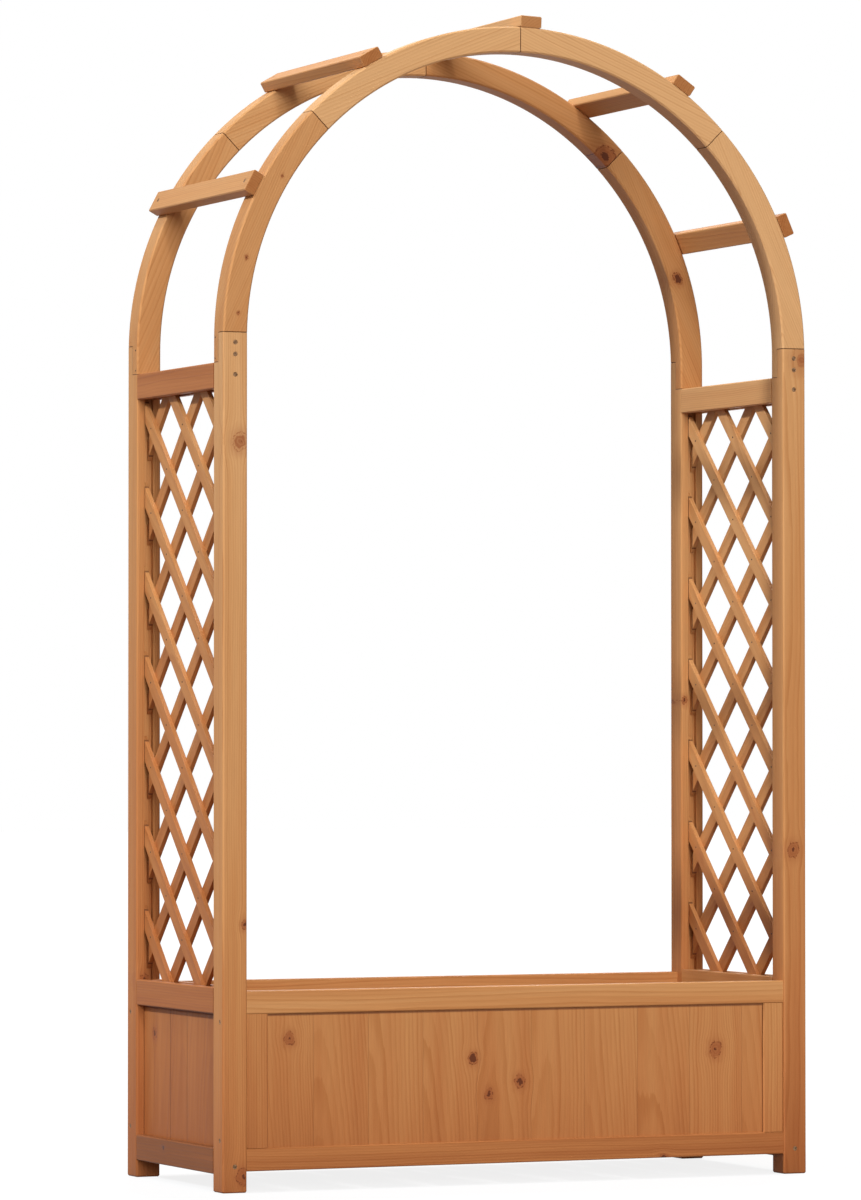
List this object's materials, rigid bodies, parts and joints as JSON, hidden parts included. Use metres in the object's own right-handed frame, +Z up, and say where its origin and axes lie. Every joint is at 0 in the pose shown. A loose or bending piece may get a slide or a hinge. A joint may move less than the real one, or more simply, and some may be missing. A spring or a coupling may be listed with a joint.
{
  "type": "raised garden bed with arch",
  "caption": "Timber planter box on square posts, with a slatted floor, lattice ends and half-round arches tied by slats, for climbing plants.",
  "frame": {"origin": "on the floor, under the middle of the bed", "axes": "+X to the right seen from the front, +Y to the rear, +Z up"},
  "size_m": [1, 0.4, 1.8184],
  "materials": {
    "post_wood": "stained softwood, satin",
    "arch_wood": "stained softwood, satin",
    "slat_wood": "stained softwood, satin",
    "rail_wood": "stained softwood, satin",
    "panel_wood": "stained softwood boards, satin",
    "lattice_wood": "stained softwood, satin",
    "floor_wood": "softwood, sawn",
    "tenon_wood": "hardwood, planed",
    "screw_steel": "zinc plated steel"
  },
  "bodies": {
    "root": {"arch_slat_1": "slat_wood", "arch_slat_2": "slat_wood", "arch_slat_3": "slat_wood", "arch_slat_4": "slat_wood", "arch_slat_5": "slat_wood", "floor_cleat_front": "floor_wood", "floor_cleat_rear": "floor_wood", "floor_slat_1": "floor_wood", "floor_slat_2": "floor_wood", "floor_slat_3": "floor_wood", "floor_slat_4": "floor_wood", "floor_slat_5": "floor_wood", "floor_slat_6": "floor_wood", "floor_slat_7": "floor_wood", "floor_slat_8": "floor_wood", "frame_screws": "screw_steel", "front_arch_left_crown": "arch_wood", "front_arch_left_leg": "arch_wood", "front_arch_right_crown": "arch_wood", "front_arch_right_leg": "arch_wood", "front_bottom_rail": "rail_wood", "front_left_stile": "rail_wood", "front_panel": "panel_wood", "front_right_stile": "rail_wood", "front_top_rail": "rail_wood", "lap_screws": "screw_steel", "left_bottom_rail": "rail_wood", "left_lattice_falling_strips": "lattice_wood", "left_lattice_rising_strips": "lattice_wood", "left_panel": "panel_wood", "left_top_rail": "rail_wood", "left_trellis_rail": "rail_wood", "loose_tenons": "tenon_wood", "post_front_left": "post_wood", "post_front_right": "post_wood", "post_rear_left": "post_wood", "post_rear_right": "post_wood", "rail_screws": "screw_steel", "rear_arch_left_crown": "arch_wood", "rear_arch_left_leg": "arch_wood", "rear_arch_right_crown": "arch_wood", "rear_arch_right_leg": "arch_wood", "rear_bottom_rail": "rail_wood", "rear_left_stile": "rail_wood", "rear_panel": "panel_wood", "rear_right_stile": "rail_wood", "rear_top_rail": "rail_wood", "right_bottom_rail": "rail_wood", "right_lattice_falling_strips": "lattice_wood", "right_lattice_rising_strips": "lattice_wood", "right_panel": "panel_wood", "right_top_rail": "rail_wood", "right_trellis_rail": "rail_wood", "slat_screws": "screw_steel"}
  },
  "joints": []
}
